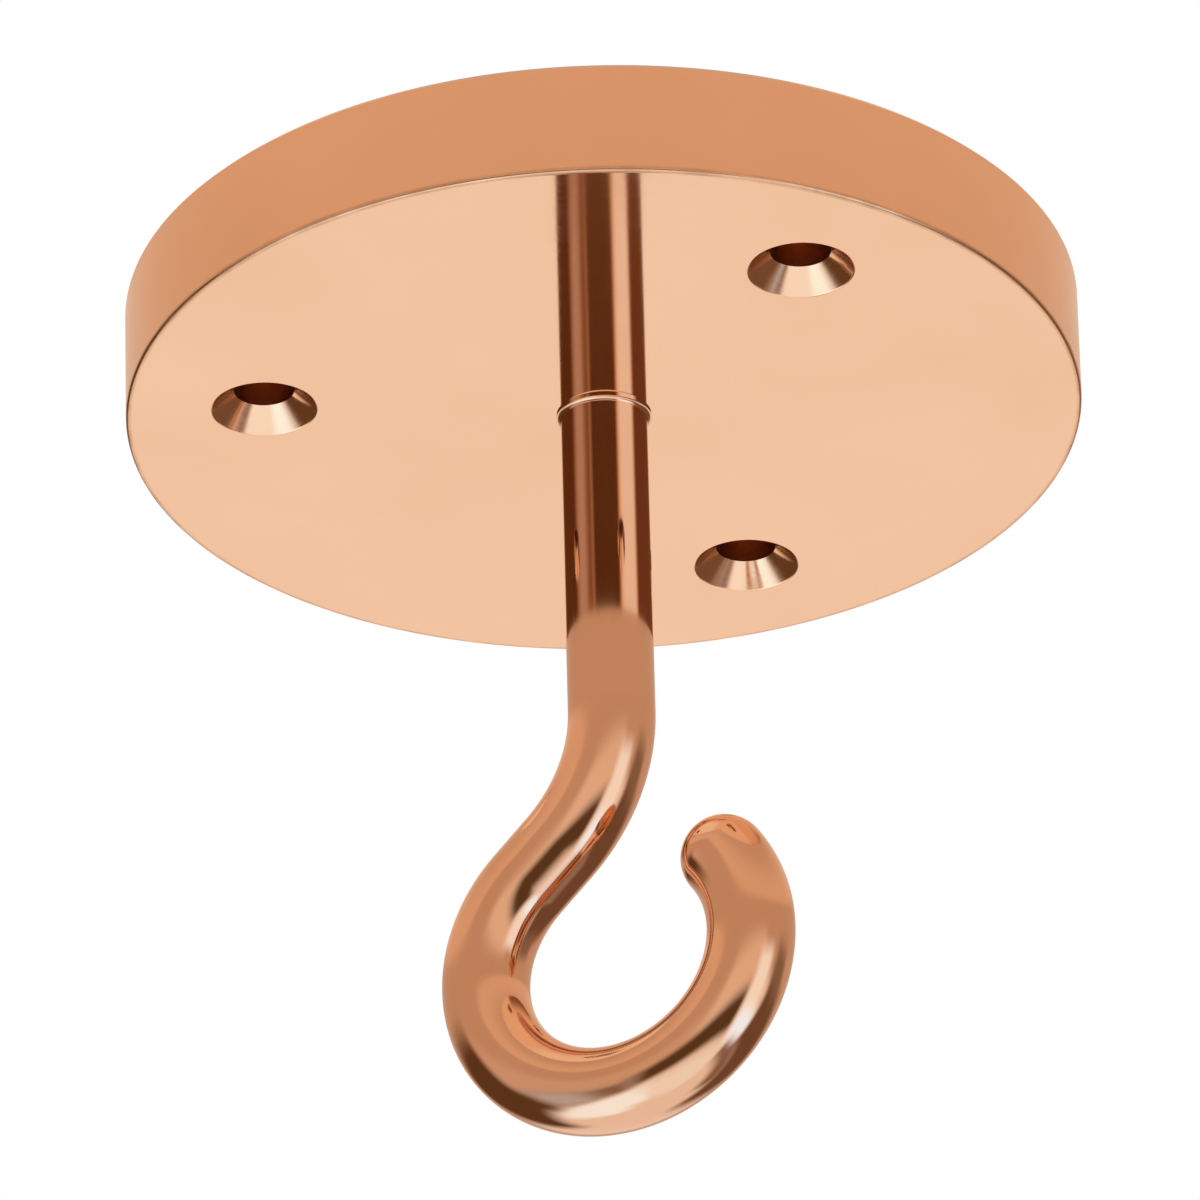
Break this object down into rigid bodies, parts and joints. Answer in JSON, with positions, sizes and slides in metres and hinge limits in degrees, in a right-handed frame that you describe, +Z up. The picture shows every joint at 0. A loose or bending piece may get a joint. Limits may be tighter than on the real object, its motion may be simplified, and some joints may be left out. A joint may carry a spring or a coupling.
{
  "type": "ceiling hook",
  "caption": "Round turned ceiling plate with countersunk screw holes, and a bent round rod that hangs from its centre and ends in an open loop.",
  "frame": {"origin": "centre of the plate's ceiling face, where the circle of screw holes is centred", "axes": "+Z up into the ceiling, along the stem and the plate's axis; the rod bends in the XZ plane and its tip and the open side of the loop are towards +X"},
  "size_m": [0.066, 0.066, 0.0637],
  "materials": {
    "plate_metal": "mirror-polished copper colour, turned disc",
    "rod_metal": "mirror-polished copper colour, drawn and bent round bar"
  },
  "bodies": {
    "root": {"ceiling_plate": "plate_metal", "hook": "rod_metal"}
  },
  "joints": []
}
